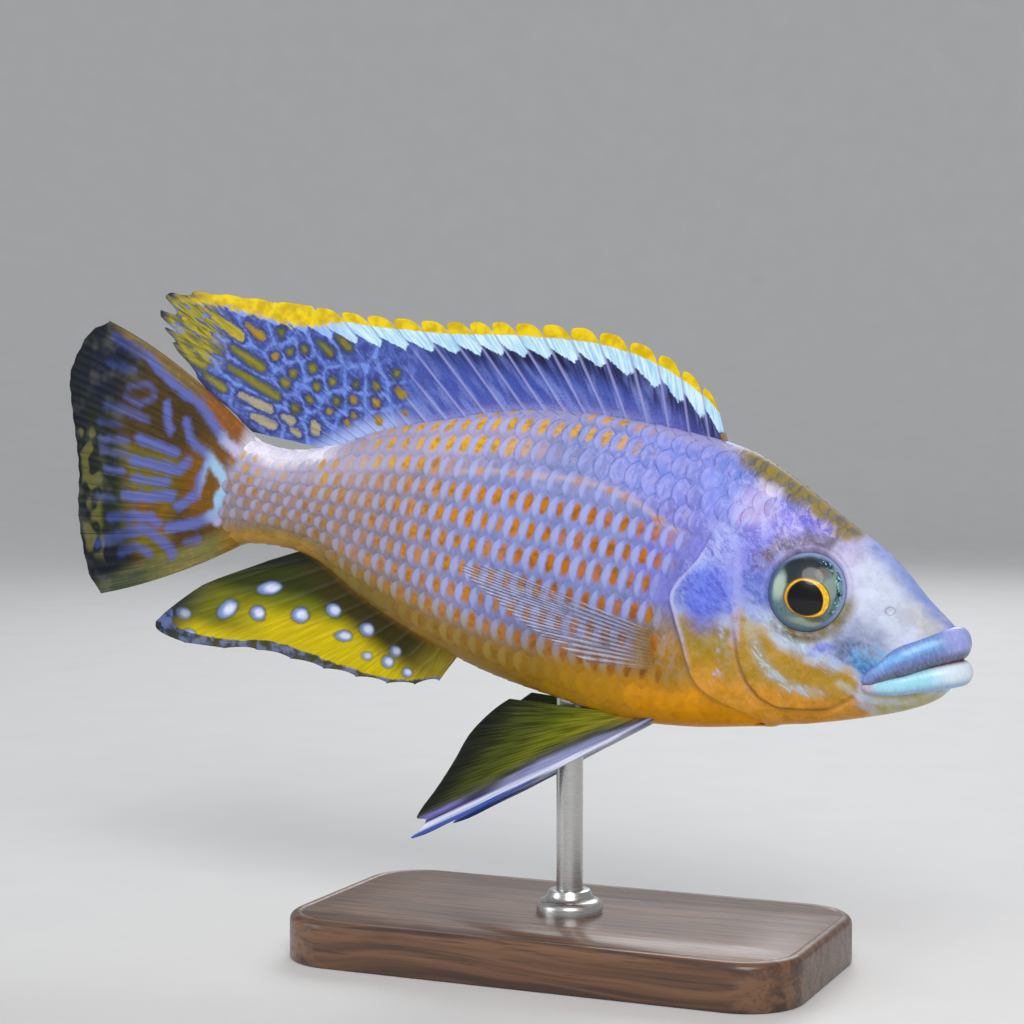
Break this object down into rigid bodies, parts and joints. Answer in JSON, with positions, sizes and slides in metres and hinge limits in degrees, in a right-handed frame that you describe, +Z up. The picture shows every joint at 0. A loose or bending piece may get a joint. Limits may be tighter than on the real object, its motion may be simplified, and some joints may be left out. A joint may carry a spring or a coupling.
{
  "type": "model of a male lake cichlid fish on a display stand",
  "caption": "Life-size still model of a male Protomelas hertae, a spotted haplochromine cichlid with long dorsal fin, held by a rod on a flat wooden stand.",
  "frame": {"origin": "centre of the underside of the stand's base", "axes": "+X towards the fish's head, +Y towards its left side, +Z up"},
  "size_m": [0.1544, 0.042, 0.1015],
  "materials": {
    "skin": "painted scales with a soft gloss",
    "gill_cover": "painted, iridescent",
    "eye": "polished",
    "fin_blue": "satin, ribbed",
    "fin_yellow": "satin, ribbed",
    "fin_ochre": "satin, ribbed",
    "fin_clear": "clear, ribbed",
    "stand_wood": "dark satin varnish",
    "stand_steel": "brushed"
  },
  "bodies": {
    "root": {"head": "skin", "lower_jaw": "skin", "gill_cover_left": "gill_cover", "gill_cover_right": "gill_cover", "eye_left": "eye", "eye_right": "eye", "torso": "skin", "caudal_peduncle": "skin", "dorsal_fin": "fin_blue", "anal_fin": "fin_yellow", "caudal_fin": "fin_ochre", "pectoral_fin_left": "fin_clear", "pectoral_fin_right": "fin_clear", "pelvic_fin_left": "fin_yellow", "pelvic_fin_right": "fin_yellow", "stand_base": "stand_wood", "stand_rod": "stand_steel", "stand_collar": "stand_steel"}
  },
  "joints": []
}
